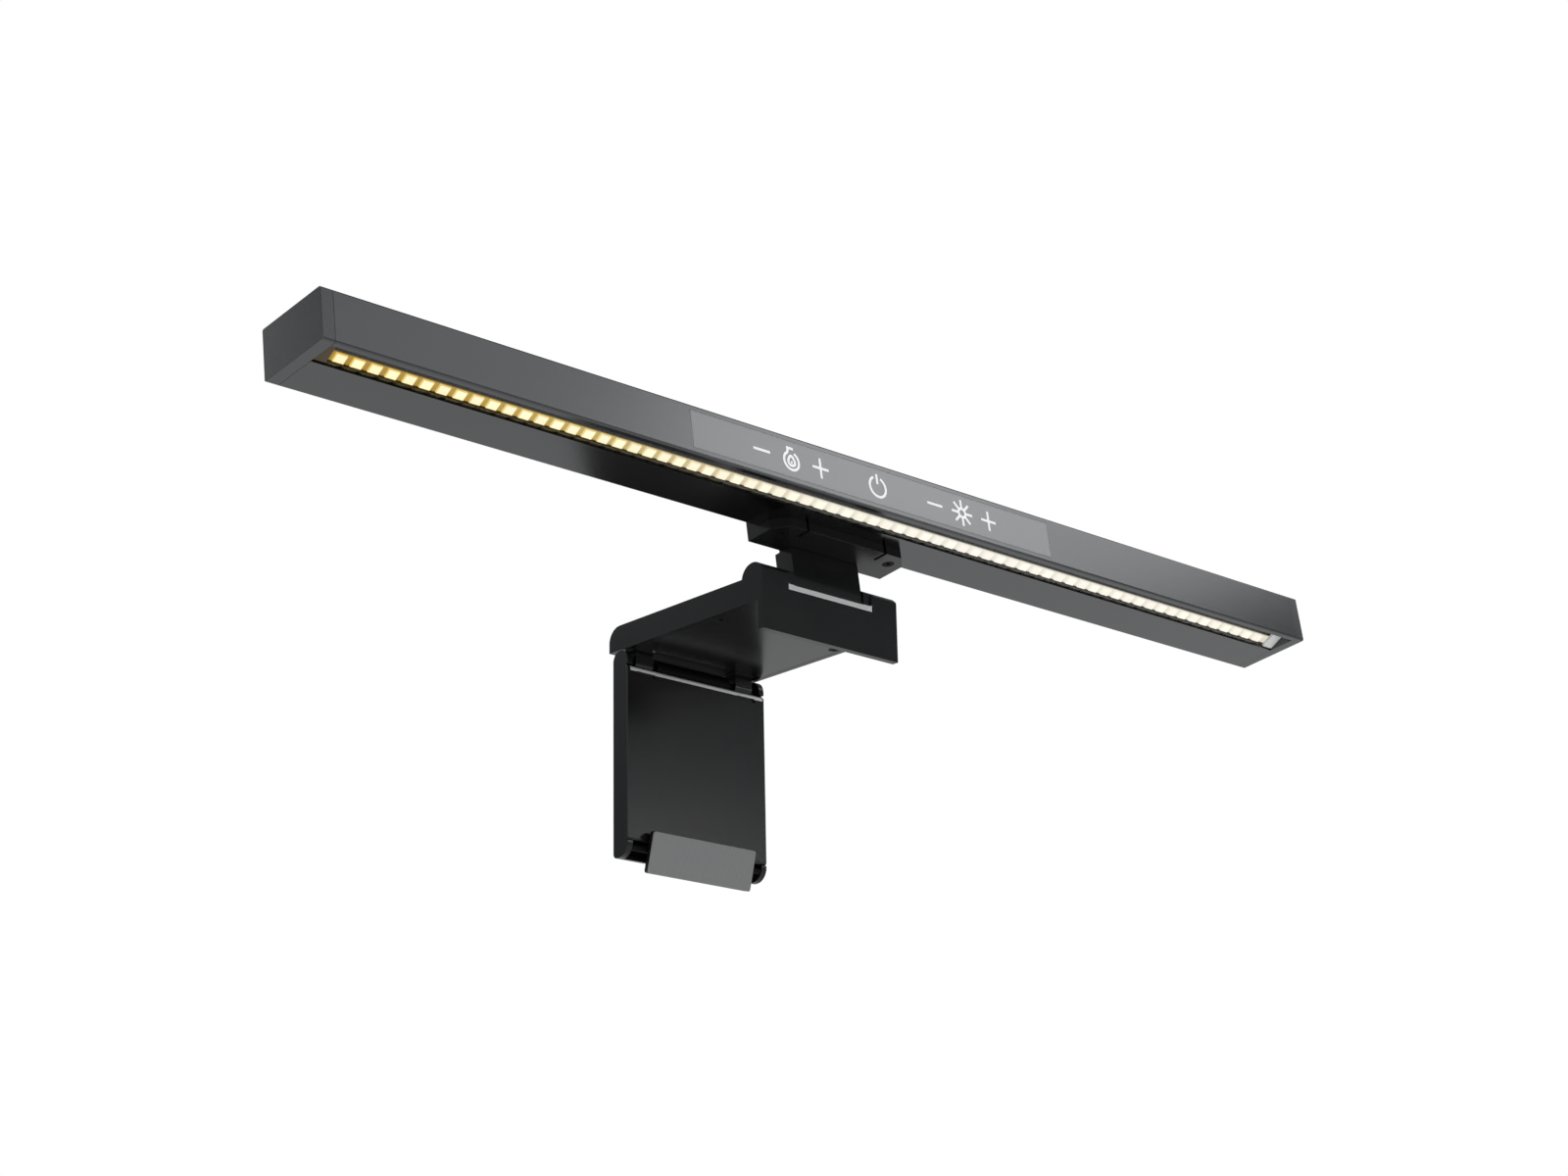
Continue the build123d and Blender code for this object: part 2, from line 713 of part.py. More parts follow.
# ---------------------------------------------------------------- leg
side_wall_inner = leg_width / 2 - leg_side_wall
plate_back_y = leg_front_y + plate_thickness
plate_top_z = leg_z - plate_top
plate_bottom_z = leg_bottom_z + plate_bottom
leg_round = min(leg_front, leg_back)
with BuildPart() as leg_shell:
    for start in (-leg_width / 2, side_wall_inner):
        with BuildSketch(Plane.YZ.offset(start)) as wall_side:
            span(leg_front_y, leg_back_y, leg_bottom_z, leg_z)
            bottom = wall_side.vertices().group_by(Axis.Y)[0].sort_by(Axis.X)
            fillet(bottom[0], leg_toe_radius)
            bottom = wall_side.vertices().group_by(Axis.Y)[0].sort_by(Axis.X)
            fillet(bottom[-1], leg_heel_radius)
            with Locations((leg_y, leg_z)):
                Ellipse(leg_round, leg_round)
            span(
                leg_front_y,
                plate_back_y + seam,
                plate_bottom_z - seam,
                plate_top_z + seam,
                mode=Mode.SUBTRACT,
            )
        extrude(amount=leg_side_wall)
    with BuildSketch(Plane.YZ.offset(-side_wall_inner)):
        span(leg_back_y - leg_rear_wall, leg_back_y, leg_bottom_z + leg_heel_radius, leg_z - leg_rear_top)
        span(
            leg_front_y + leg_toe_radius,
            leg_back_y - leg_heel_radius,
            leg_bottom_z,
            leg_bottom_z + leg_bottom_wall,
        )
        with BuildLine():
            heel = (leg_back_y - leg_heel_radius, leg_bottom_z + leg_heel_radius)
            Line((heel[0], leg_bottom_z), (heel[0], leg_bottom_z + leg_bottom_wall))
            Line(
                (heel[0], leg_bottom_z + leg_bottom_wall),
                (leg_back_y - leg_rear_wall, heel[1]),
            )
            Line((leg_back_y - leg_rear_wall, heel[1]), (leg_back_y, heel[1]))
            RadiusArc((leg_back_y, heel[1]), (heel[0], leg_bottom_z), leg_heel_radius)
        make_face()
    extrude(amount=2 * side_wall_inner)
    # pin holes, blind on the left and open on the right, where the pins are pushed in
    with BuildSketch(Plane.YZ.offset(pin_end_x)):
        with Locations((leg_y, leg_z)):
            Circle(leg_pin_radius + running_gap)
        with Locations((foot_y, foot_z)):
            Circle(foot_pin_radius + press_gap)
    extrude(amount=leg_width, mode=Mode.SUBTRACT)
finish(leg_shell, "leg_shell")

with BuildPart() as leg_plate:
    with BuildSketch(Plane.YZ.offset(-leg_width / 2)) as plate_side:
        span(leg_front_y, plate_back_y, plate_bottom_z, plate_top_z)
        top_front = plate_side.vertices().group_by(Axis.Y)[-1].sort_by(Axis.X)[0]
        chamfer(top_front, plate_chamfer)
        bottom_front = plate_side.vertices().group_by(Axis.Y)[0].sort_by(Axis.X)[0]
        fillet(bottom_front, plate_round)
    extrude(amount=leg_width)
    with BuildSketch(Plane.XZ.offset(-leg_front_y)):
        with Locations(*[(x, leg_z - plate_window_drop) for x in (-lug_x, lug_x)]):
            Rectangle(plate_window_width, plate_window_height)
    extrude(amount=-plate_window_depth, mode=Mode.SUBTRACT)
finish(leg_plate, "leg_plate")

with BuildPart() as leg_weight:
    weight_y = leg_back_y - leg_rear_wall - weight_gap - weight_thickness / 2
    with Locations((0, weight_y, leg_z - weight_drop)):
        Box(weight_width, weight_thickness, weight_height)
    chamfer(leg_weight.edges().filter_by(Axis.Y), foot_corner)
finish(leg_weight, "leg_weight")

with BuildPart() as leg_sleeve:
    with BuildSketch(Plane.YZ.offset(-sleeve_length / 2)):
        with Locations((leg_y, leg_z)):
            Circle(sleeve_radius)
            Circle(leg_pin_radius + running_gap, mode=Mode.SUBTRACT)
        with Locations((leg_y, leg_z + sleeve_radius)):
            Rectangle(sleeve_slit, 2 * sleeve_radius, mode=Mode.SUBTRACT)
        span(
            leg_y + sleeve_slit,
            leg_back_y - leg_rear_wall,
            leg_z - leg_rear_top - sleeve_grip,
            leg_z - leg_pin_radius,
        )
    extrude(amount=sleeve_length)
finish(leg_sleeve, "leg_sleeve")

# ---------------------------------------------------------------- foot
with BuildPart() as foot_pin:
    with BuildSketch(Plane.YZ.offset(pin_end_x + seam)):
        with Locations((foot_y, foot_z)):
            Circle(foot_pin_radius)
    extrude(amount=leg_width / 2 - pin_end_x - 2 * seam)
finish(foot_pin, "foot_pin")

foot_plate_back = foot_knuckle_radius
with BuildPart() as foot_plate:
    with BuildSketch(level(flap, foot_plate_back)):
        with Locations((0, -foot_drop)):
            RectangleRounded(foot_width, foot_height, foot_corner)
    extrude(amount=foot_plate_thickness)
    for side in (-1, 1):
        with BuildSketch(Plane.YZ.offset(side * foot_knuckle_x - foot_knuckle_width / 2)):
            with Locations((foot_y, foot_z)):
                Circle(foot_knuckle_radius)
                with Locations(Rotation(0, 0, foot_lean)):
                    Rectangle(
                        foot_knuckle_radius + foot_plate_thickness / 2,
                        2 * foot_knuckle_radius,
                        align=(Align.MAX, Align.CENTER),
                    )
        extrude(amount=foot_knuckle_width)
    with BuildSketch(Plane.YZ.offset(-leg_width / 2)):
        with Locations((foot_y, foot_z)):
            Circle(foot_pin_radius + running_gap)
    extrude(amount=leg_width, mode=Mode.SUBTRACT)
finish(foot_plate, "foot_plate")

with BuildPart() as foot_pad:
    with BuildSketch(level(flap, foot_plate_back + foot_plate_thickness)):
        with Locations((0, -foot_drop)):
            RectangleRounded(foot_width, foot_height, foot_corner)
    extrude(amount=foot_pad_thickness)
finish(foot_pad, "foot_pad")
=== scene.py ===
import bmesh
import bpy
import numpy as np
from mathutils import Matrix, Vector


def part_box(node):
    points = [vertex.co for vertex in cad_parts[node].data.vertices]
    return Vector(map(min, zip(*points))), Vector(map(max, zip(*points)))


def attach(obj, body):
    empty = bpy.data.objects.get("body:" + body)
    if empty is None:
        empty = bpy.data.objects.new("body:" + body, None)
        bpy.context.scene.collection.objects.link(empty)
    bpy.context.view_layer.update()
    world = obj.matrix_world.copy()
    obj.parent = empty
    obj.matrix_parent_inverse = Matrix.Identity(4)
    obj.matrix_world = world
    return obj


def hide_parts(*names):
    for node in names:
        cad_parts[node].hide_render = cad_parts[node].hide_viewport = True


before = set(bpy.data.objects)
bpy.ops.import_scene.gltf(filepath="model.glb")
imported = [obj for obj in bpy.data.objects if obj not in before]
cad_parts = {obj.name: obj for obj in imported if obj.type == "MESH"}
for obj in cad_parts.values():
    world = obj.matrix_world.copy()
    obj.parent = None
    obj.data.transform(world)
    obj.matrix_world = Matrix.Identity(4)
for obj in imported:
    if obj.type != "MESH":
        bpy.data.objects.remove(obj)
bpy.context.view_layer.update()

# Studio: a white room, a camera that looks up at the lamp from its left front, and softboxes
# that the dark faces reflect. The camera sees the room white, and everything else sees it dim.
camera_place = Vector((-0.59048, -0.64306, -0.27798))
camera_heading = np.radians(42.99)      # from straight behind the lamp towards its right
camera_pitch = np.radians(18.66)
camera_roll = np.radians(-1.15)

camera_data = bpy.data.cameras.new("studio_camera")
camera_data.lens = 68.48
camera_data.sensor_width = 36.0
camera_data.clip_start = 0.01
camera = bpy.data.objects.new("studio_camera", camera_data)
bpy.context.collection.objects.link(camera)
camera.matrix_world = Matrix.Translation(camera_place) @ (
    Matrix.Rotation(-camera_heading, 4, "Z")
    @ Matrix.Rotation(np.pi / 2 + camera_pitch, 4, "X")
    @ Matrix.Rotation(camera_roll, 4, "Z")
)
bpy.context.scene.camera = camera
bpy.context.scene.view_settings.view_transform = "Standard"

world = bpy.data.worlds.new("white_room")
bpy.context.scene.world = world
world.use_nodes = True
room = world.node_tree
seen = room.nodes.new("ShaderNodeBackground")
seen.inputs["Color"].default_value = (1.0, 1.0, 1.0, 1.0)
seen.inputs["Strength"].default_value = 1.0
felt = room.nodes["Background"]
felt.inputs["Color"].default_value = (0.9, 0.95, 1.0, 1.0)
felt.inputs["Strength"].default_value = 0.3
ray = room.nodes.new("ShaderNodeLightPath")
choice = room.nodes.new("ShaderNodeMixShader")
room.links.new(ray.outputs["Is Camera Ray"], choice.inputs[0])
room.links.new(felt.outputs[0], choice.inputs[1])
room.links.new(seen.outputs[0], choice.inputs[2])
room.links.new(choice.outputs[0], room.nodes["World Output"].inputs["Surface"])


def soft_light(name, way, distance, width, height, glow):
    """Rectangular softbox seen from the lamp's middle in a direction, with an even glow."""
    aim = Vector(way).normalized()
    data = bpy.data.lights.new(name, "AREA")
    data.shape = "RECTANGLE"
    data.size = width
    data.size_y = height
    data.energy = glow * np.pi * width * height
    light = bpy.data.objects.new(name, data)
    bpy.context.collection.objects.link(light)
    light.location = aim * distance
    light.rotation_euler = (-aim).to_track_quat("-Z", "Y").to_euler()


soft_light("overhead_box", (-0.25, 0.25, 0.93), 1.4, 1.0, 1.0, 4.6)
soft_light("right_front_box", (0.70, -0.49, 0.52), 1.4, 0.56, 0.28, 2.2)
soft_light("left_front_box", (0.50, -0.62, 0.60), 1.4, 0.6, 0.32, 1.0)
soft_light("camera_side_box", (-0.45, -0.80, 0.32), 1.4, 0.16, 0.4, 12.0)
soft_light("left_rear_box", (-0.53, 0.76, 0.40), 1.3, 0.14, 0.2, 1.9)
soft_light("left_box", (-0.98, 0.1, 0.1), 1.3, 0.5, 0.9, 1.5)
soft_light("low_front_card", (0.61, -0.77, 0.13), 1.3, 0.22, 0.14, 5.0)


# Finishes: every material is a Finish, a few noises fed into one shader. Sums and products of
# its patterns are written as plain arithmetic on Values.
class Value:
    """A node's socket. Arithmetic on it adds the Math nodes that work the expression out."""

    def __init__(self, finish, socket):
        self.finish = finish
        self.socket = socket

    def maths(self, operation, *values):
        return self.finish.node("ShaderNodeMath", {"operation": operation}, *values)

    def __add__(self, other):
        return self.maths("ADD", self, other)

    def __sub__(self, other):
        return self.maths("SUBTRACT", self, other)

    def __rsub__(self, other):
        return self.maths("SUBTRACT", other, self)

    def __mul__(self, other):
        return self.maths("MULTIPLY", self, other)

    def __truediv__(self, other):
        return self.maths("DIVIDE", self, other)

    def __lt__(self, other):
        return self.maths("LESS_THAN", self, other)

    def __gt__(self, other):
        return self.maths("GREATER_THAN", self, other)

    def __mod__(self, other):
        return self.maths("FLOORED_MODULO", self, other)

    def __abs__(self):
        return self.maths("ABSOLUTE", self)

    __radd__ = __add__


class Finish:
    """A material with one Principled shader, whose constants are set by the sockets' own names."""

    def __init__(self, name, colour, roughness, **constants):
        self.material = bpy.data.materials.new(name)
        self.material.use_nodes = True
        self.tree = self.material.node_tree
        self.shader = self.tree.nodes["Principled BSDF"]
        self.shader.inputs["Base Color"].default_value = (*colour, 1.0)
        self.shader.inputs["Roughness"].default_value = roughness
        for socket, value in constants.items():
            self.shader.inputs[socket.replace("_", " ")].default_value = value

    def feed(self, socket, value):
        """Give a socket a number, a colour or a link."""
        if isinstance(value, Value):
            self.tree.links.new(value.socket, socket)
        else:
            socket.default_value = value

    def node(self, kind, settings, *values, output=0, **named):
        """Add a node: its settings and a ramp's stops, then its sockets in order or by name."""
        node = self.tree.nodes.new(kind)
        for setting, value in settings.items():
            if setting == "stops":
                ramp = node.color_ramp.elements
                while len(ramp) < len(value):
                    ramp.new(0.5)
                for stop, (place, colour) in zip(ramp, value):
                    stop.position = place
                    stop.color = (*colour, 1.0)
            else:
                setattr(node, setting, value)
        for socket, value in zip(node.inputs, values):
            self.feed(socket, value)
        for socket, value in named.items():
            self.feed(node.inputs[socket.replace("_", " ")], value)
        return Value(self, node.outputs[output])

    def along(self, axis):
        """Object coordinate along one axis, in metres."""
        spot = self.node("ShaderNodeTexCoord", {}, output="Object")
        return self.node("ShaderNodeSeparateXYZ", {}, spot, output=axis)

    def place(self, stretch=(1.0, 1.0, 1.0), turn=(0.0, 0.0, 0.0)):
        """Object coordinates, turned and stretched, for a pattern to read."""
        spot = self.node("ShaderNodeTexCoord", {}, output="Object")
        return self.node("ShaderNodeMapping", {}, spot, Rotation=turn, Scale=stretch)

    def grain(self, scale, detail=3.0, stretch=(1.0, 1.0, 1.0), turn=(0.0, 0.0, 0.0)):
        """Noise from 0 to 1, with about this many lumps to the metre."""
        spot = self.place(stretch, turn)
        return self.node("ShaderNodeTexNoise", {}, Vector=spot, Scale=scale, Detail=detail, output=0)

    def blend(self, amount, first, second):
        """Colour between two colours: a Mix node's sockets 6 and 7, and its output 2."""
        mix = self.node("ShaderNodeMix", {"data_type": "RGBA"}, amount, output=2)
        for socket, side in zip(mix.socket.node.inputs[6:8], (first, second)):
            self.feed(socket, side if isinstance(side, Value) else (*side, 1.0))
        return mix

    def colour(self, value):
        self.feed(self.shader.inputs["Base Color"], value)

    def rough(self, value):
        self.feed(self.shader.inputs["Roughness"], value)

    def shine(self, colour, strength):
        """Give off light of a colour."""
        self.feed(self.shader.inputs["Emission Color"], colour)
        self.shader.inputs["Emission Strength"].default_value = strength

    def bump(self, height, depth):
        """Raise the surface by height times depth, in metres."""
        normal = self.node("ShaderNodeBump", {}, Strength=1.0, Distance=depth, Height=height)
        self.feed(self.shader.inputs["Normal"], normal)


# Floor: plain pale paper, below the camera. The lamp hangs clear of it, as it would on a monitor,
# and mirrors it in its dark underside.
floor_drop = 0.36           # from the rest face down to the floor
floor_reach = 6.0           # from the lamp to each edge
floor_mesh = bpy.data.meshes.new("studio_floor")
floor_mesh.from_pydata(
    [(x * floor_reach, y * floor_reach, -floor_drop) for x, y in ((-1, -1), (1, -1), (1, 1), (-1, 1))],
    [],
    [(0, 1, 2, 3)],
)
floor = bpy.data.objects.new("studio_floor", floor_mesh)
bpy.context.collection.objects.link(floor)
paper = Finish("pale_paper", (0.45, 0.45, 0.445), 0.8)
paper.shine((1.0, 1.0, 1.0, 1.0), 0.45)
paper.bump(paper.grain(900.0), 0.0001)
floor_mesh.materials.append(paper.material)


# Bar extrusion: one length of aluminium, anodised dark grey and finely brushed along its length.
# A slot along its underside holds the light, and the boards slide into a bay behind it.
bar_depth = 0.0267
bar_height = 0.0157
bar_lean = np.radians(7.8)              # leaned back at rest
bar_low, bar_high = (np.array(corner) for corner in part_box("bar_housing"))
bar_middle = (bar_low + bar_high) / 2
rightwards = np.array([1.0, 0.0, 0.0])
rearwards = np.array([0.0, np.cos(bar_lean), -np.sin(bar_lean)])
upwards = np.array([0.0, np.sin(bar_lean), np.cos(bar_lean)])

anodised = Finish("anodised_aluminium", (0.105, 0.106, 0.110), 0.25, Metallic=1.0)
brushing = anodised.grain(2600.0, 4.0, stretch=(0.012, 1.0, 1.0), turn=(bar_lean, 0.0, 0.0))
clouding = anodised.grain(9.0, 2.0)
pores = anodised.grain(22000.0, 1.0)
anodised_fleck = clouding * 0.5 + brushing * 0.5
anodised.colour(anodised.blend(anodised_fleck, (0.082, 0.083, 0.085), (0.1, 0.101, 0.103)))
anodised.rough(0.14 + brushing * 0.06 + pores * 0.03)
anodised.bump(brushing + pores * 0.5, 0.000003)


def wear(node, finish):
    """Give a CAD node a finish in place of its plain one, in the object's own slots."""
    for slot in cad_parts[node].material_slots:
        slot.link = "OBJECT"
        slot.material = finish.material


wear("bar_housing", anodised)


# Moulded parts: the same solids as the frame's, with every edge rounded as a mould leaves it.
# A copy of the frame's mesh is merged, its flat faces joined, and its edges bevelled.
crease = np.radians(17)                 # edges sharper than this are rounded
flat_enough = np.radians(1.0)           # faces nearer to flat than this are joined


def add_piece(name, mesh, body):
    """Put a mesh in the scene as a piece that moves with a body."""
    piece = bpy.data.objects.new(name, mesh)
    bpy.context.collection.objects.link(piece)
    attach(piece, body)
    return piece


def moulded(node, name, body, finish, radius, steps=3):
    """Copy a CAD node with its edges rounded to a radius, and let it stand for that node."""
    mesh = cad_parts[node].data.copy()
    mesh.name = name
    shape = bmesh.new()
    shape.from_mesh(mesh)
    bmesh.ops.remove_doubles(shape, verts=shape.verts, dist=1e-6)
    bmesh.ops.dissolve_limit(
        shape,
        angle_limit=flat_enough,
        verts=shape.verts,
        edges=shape.edges,
        use_dissolve_boundaries=False,
    )
    for face in shape.faces:
        face.smooth = True
    for edge in shape.edges:
        edge.smooth = edge.calc_face_angle(0.0) < crease
    shape.to_mesh(mesh)
    shape.free()
    mesh.materials.clear()
    mesh.materials.append(finish.material)
    mesh.polygons.foreach_set("material_index", np.zeros(len(mesh.polygons), dtype=np.int32))
    piece = add_piece(name, mesh, body)
    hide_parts(node)
    edges = piece.modifiers.new("rounded_edges", "BEVEL")
    edges.width = radius
    edges.segments = steps
    edges.limit_method = "ANGLE"
    edges.angle_limit = crease
    edges.harden_normals = True
    edges.use_clamp_overlap = True
    flats = piece.modifiers.new("flat_faces_stay_flat", "WEIGHTED_NORMAL")
    flats.keep_sharp = True
    flats.weight = 80


# End caps: plastic painted to match the bar, each plugged into one end of it. The seam shows as
# a fine line.
cap_plastic = Finish("cap_metallic_paint", (0.09, 0.091, 0.093), 0.25, Metallic=1.0)
cap_grain = cap_plastic.grain(9000.0, 2.0)
cap_cloud = cap_plastic.grain(60.0, 2.0)
cap_fleck = cap_grain * 0.4 + cap_cloud * 0.6
cap_plastic.colour(cap_plastic.blend(cap_fleck, (0.082, 0.083, 0.085), (0.1, 0.101, 0.103)))
cap_plastic.rough(0.19 + cap_grain * 0.06)
cap_plastic.bump(cap_grain, 0.000004)
moulded("end_cap_left", "left_end_cap", "lamp", cap_plastic, 0.00015)
moulded("end_cap_right", "right_end_cap", "lamp", cap_plastic, 0.00015)


# Light engine: a board leaning forward in the slot, with a row of emitters that alternate warm
# and cool, a reflector coloured black as painted shade in the slot, and a clear strip over them.
# They shine amber at the bar's left end and white from its middle on.
led_lean = np.radians(23.6)
led_pitch = 0.00552
led_count = 69
front_wall = 0.00205                    # bar's front face to the slot
slot_width = 0.0101
led_back = 0.00219                      # emitters' faces in front of the slot's rear side
led_rise = 0.00231                      # and above the bar's underside
slot_back = -bar_depth / 2 + front_wall + slot_width
led_middle = bar_middle + rearwards * (slot_back - led_back) + upwards * (-bar_height / 2 + led_rise)
outward = -rearwards * np.sin(led_lean) - upwards * np.cos(led_lean)
across_light = -rearwards * np.cos(led_lean) + upwards * np.sin(led_lean)
painted_glow_reach = 0.0019                      # painted glow reaches this far across the board from the row's middle
painted_glow_fade = 0.0006                       # and then fades to painted black shade over this much


def along_bar(finish, stops):
    """Colour that drifts from the bar's left end to its right end."""
    share = finish.along("X") / (bar_high[0] - bar_low[0]) + 0.5
    return finish.node("ShaderNodeValToRGB", {"stops": stops}, share)


def from_emitters(finish):
    """Distance across the board from the row of emitters, in metres."""
    here = finish.along("Y") * across_light[1] + finish.along("Z") * across_light[2]
    return abs(here - led_middle @ across_light)


amber_to_white = (
    (0.03, (0.34, 0.19, 0.012)),
    (0.15, (0.40, 0.26, 0.035)),
    (0.24, (0.48, 0.35, 0.09)),
    (0.34, (0.56, 0.47, 0.28)),
    (0.46, (0.76, 0.72, 0.61)),
    (0.65, (0.78, 0.76, 0.68)),
    (1.0, (0.74, 0.70, 0.58)),
)
cream_to_white = (
    (0.0, (0.98, 0.94, 0.56)),
    (0.3, (0.98, 0.93, 0.68)),
    (0.6, (0.97, 0.93, 0.86)),
    (1.0, (0.97, 0.93, 0.82)),
)

# the board has a painted glow beside its emitters, and black painted shade beyond them
board_glow_and_shade = Finish("board_painted_glow_and_shade", (0.12, 0.1, 0.05), 0.45)
painted_glow_share = (painted_glow_reach - from_emitters(board_glow_and_shade)) / painted_glow_fade
mask_grain = board_glow_and_shade.grain(1500.0, 2.0)
board_glow_and_shade.colour(board_glow_and_shade.blend(painted_glow_share, (0.006, 0.006, 0.006), (0.12, 0.10, 0.05)))
board_glow_and_shade.rough(0.4 + mask_grain * 0.1)
board_glow_and_shade.shine(board_glow_and_shade.blend(painted_glow_share, (0.0, 0.0, 0.0), along_bar(board_glow_and_shade, amber_to_white)), 1.0)
wear("led_board", board_glow_and_shade)

# the reflector is coloured black: painted shade inside the slot
reflector_painted_shade = Finish("reflector_black_as_painted_shade", (0.006, 0.006, 0.006), 0.5)
reflector_painted_shade.rough(0.45 + reflector_painted_shade.grain(1200.0) * 0.15)
wear("reflector", reflector_painted_shade)

# the blocks that close the strip: white at the right end, and darkened as painted shade at the left;
# both give off a faint painted glow, amber at the left and grey at the right
strip_block_shade_and_glow = Finish("strip_block_painted_shade_and_glow", (0.62, 0.62, 0.62), 0.4)
block_colour_and_painted_shade_stops = ((0.0, (0.01, 0.008, 0.004)), (0.5, (0.62, 0.62, 0.62)))
strip_block_shade_and_glow.colour(along_bar(strip_block_shade_and_glow, block_colour_and_painted_shade_stops))
strip_block_shade_and_glow.rough(0.35 + strip_block_shade_and_glow.grain(2500.0) * 0.15)
block_painted_glow_stops = ((0.0, (0.03, 0.018, 0.002)), (0.5, (0.12, 0.12, 0.12)))
strip_block_shade_and_glow.shine(along_bar(strip_block_shade_and_glow, block_painted_glow_stops), 1.0)
wear("lens_blocks", strip_block_shade_and_glow)


def glowing(name, stops, strength):
    """Lit phosphor, or plastic with a painted glow, tinted along the bar."""
    phosphor = Finish(name, (0.10, 0.09, 0.05), 0.5)
    phosphor.shine(along_bar(phosphor, stops), strength)
    phosphor.rough(0.45 + phosphor.grain(4000.0) * 0.1)
    return phosphor


warm_phosphor = glowing("warm_phosphor", cream_to_white, 1.0)
cool_phosphor = glowing("cool_phosphor", cream_to_white, 1.06)
gold_to_white = (
    (0.03, (0.80, 0.52, 0.10)),
    (0.24, (0.86, 0.66, 0.28)),
    (0.46, (0.90, 0.85, 0.75)),
    (1.0, (0.89, 0.85, 0.76)),
)
# the emitters' cases glow too: painted glow for light spilled from the phosphor
case_painted_glow = glowing("case_painted_glow", gold_to_white, 1.0)

# rings of one emitter: half width, half height and height above the board's face, in mm
case_rings = (
    (1.75, 1.40, -0.70),
    (1.75, 1.40, -0.04),
    (1.72, 1.37, 0.00),
    (1.66, 1.31, 0.00),
    (1.60, 1.25, -0.14),
)
window_rings = (
    (1.64, 1.29, -0.09),
    (1.40, 1.05, -0.03),
    (0.95, 0.66, -0.01),
    (0.40, 0.28, 0.00),
)


def emitters(name, rings, first, finish, node):
    """Copies of a stack of rectangular rings, one at every second emitter's place.

    A ring's corner is the emitter's middle, plus or minus its half width along the bar, plus or
    minus its half height across the light, plus its height outwards.
    """
    half_width, half_height, height = (np.array(rings) / 1000).T
    corner_x = np.array([-1.0, 1.0, 1.0, -1.0])
    corner_y = np.array([-1.0, -1.0, 1.0, 1.0])
    local_x = half_width[:, None] * corner_x
    local_y = half_height[:, None] * corner_y
    local_z = np.broadcast_to(height[:, None], local_x.shape)
    step = np.arange(first, led_count, 2) - (led_count - 1) / 2
    points = (
        led_middle
        + local_y[None, :, :, None] * across_light
        + local_z[None, :, :, None] * outward
        + (local_x[None] + step[:, None, None] * led_pitch)[..., None] * rightwards
    )
    ring_count = len(rings)
    corner = np.arange(4)
    after = (corner + 1) % 4
    walls = [
        np.stack([r * 4 + corner, r * 4 + after, r * 4 + 4 + after, r * 4 + 4 + corner], axis=1)
        for r in range(ring_count - 1)
    ]
    ends = np.array([[3, 2, 1, 0], [ring_count * 4 - 4 + i for i in range(4)]])
    one = np.concatenate(walls + [ends])
    faces = (one[None] + (np.arange(len(step)) * ring_count * 4)[:, None, None]).reshape(-1, 4)
    mesh = bpy.data.meshes.new(name)
    mesh.from_pydata(points.reshape(-1, 3).tolist(), [], faces.tolist())
    mesh.materials.append(finish.material)
    piece = add_piece(name, mesh, "lamp")
    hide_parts(node)


emitters("warm_cases", case_rings, 0, case_painted_glow, "leds_warm")
emitters("cool_cases", case_rings, 1, case_painted_glow, "leds_cool")
emitters("warm_windows", window_rings, 0, warm_phosphor, "leds_warm")
emitters("cool_windows", window_rings, 1, cool_phosphor, "leds_cool")

clear_strip = Finish("clear_strip", (0.2, 0.2, 0.19), 0.12, Specular_IOR_Level=0.12)
clear_strip.rough(0.08 + clear_strip.grain(500.0) * 0.08)
clear_strip.shader.inputs["Alpha"].default_value = 0.04
wear("light_lens", clear_strip)


# Touch panel: a tinted plastic window glued into the front. The board behind it feels a finger
# through the plastic, so no key moves.
panel_proud = 0.0001                    # window's face in front of the bar's
panel_face = -bar_depth / 2 - panel_proud

tinted = Finish("tinted_window", (0.235, 0.238, 0.243), 0.3, Coat_Roughness=0.15)
panel_dust = tinted.grain(5000.0, 2.0)
panel_cloud = tinted.grain(14.0, 1.0)
panel_fleck = panel_cloud * 0.6 + panel_dust * 0.4
tinted.colour(tinted.blend(panel_fleck, (0.225, 0.228, 0.232), (0.25, 0.253, 0.258)))
tinted.rough(0.27 + panel_dust * 0.09)
tinted.shader.inputs["Coat Weight"].default_value = 0.4
moulded("touch_panel", "touch_window", "lamp", tinted, 0.00015, 2)


# Boards: green solder mask over copper tracks. Their chips and coil are cast in black epoxy.
# They sit inside the bar, and only the seams let them be seen.
solder = Finish("green_solder_mask", (0.01, 0.10, 0.04), 0.35)
tracks = solder.node("ShaderNodeTexVoronoi", {}, Vector=solder.place(), Scale=450.0, output="Distance")
solder.colour(solder.blend(tracks > 0.35, (0.01, 0.10, 0.04), (0.015, 0.16, 0.065)))
wear("touch_board", solder)
wear("driver_board", solder)

epoxy = Finish("black_epoxy", (0.02, 0.02, 0.02), 0.5)
epoxy.rough(0.45 + epoxy.grain(4000.0) * 0.15)
wear("driver_chips", epoxy)
wear("power_coil", epoxy)


# Icons: white ink on the touch panel, thick enough to feel. Each key has one, drawn with round
# or straight strokes of one width.
icon_lift = 0.00003
icon_thickness = 0.00006
stroke_reach = 0.4                      # half a stroke's width, in mm
white_print_painted_glow = Finish("white_print_painted_glow", (0.86, 0.87, 0.88), 0.5)
print_grain = white_print_painted_glow.grain(9000.0, 2.0)
white_print_painted_glow.rough(0.45 + print_grain * 0.15)
# the ink also glows faintly: a painted glow
white_print_painted_glow.shine(white_print_painted_glow.blend(print_grain, (0.8, 0.81, 0.82), (1.0, 1.0, 1.0)), 0.35)


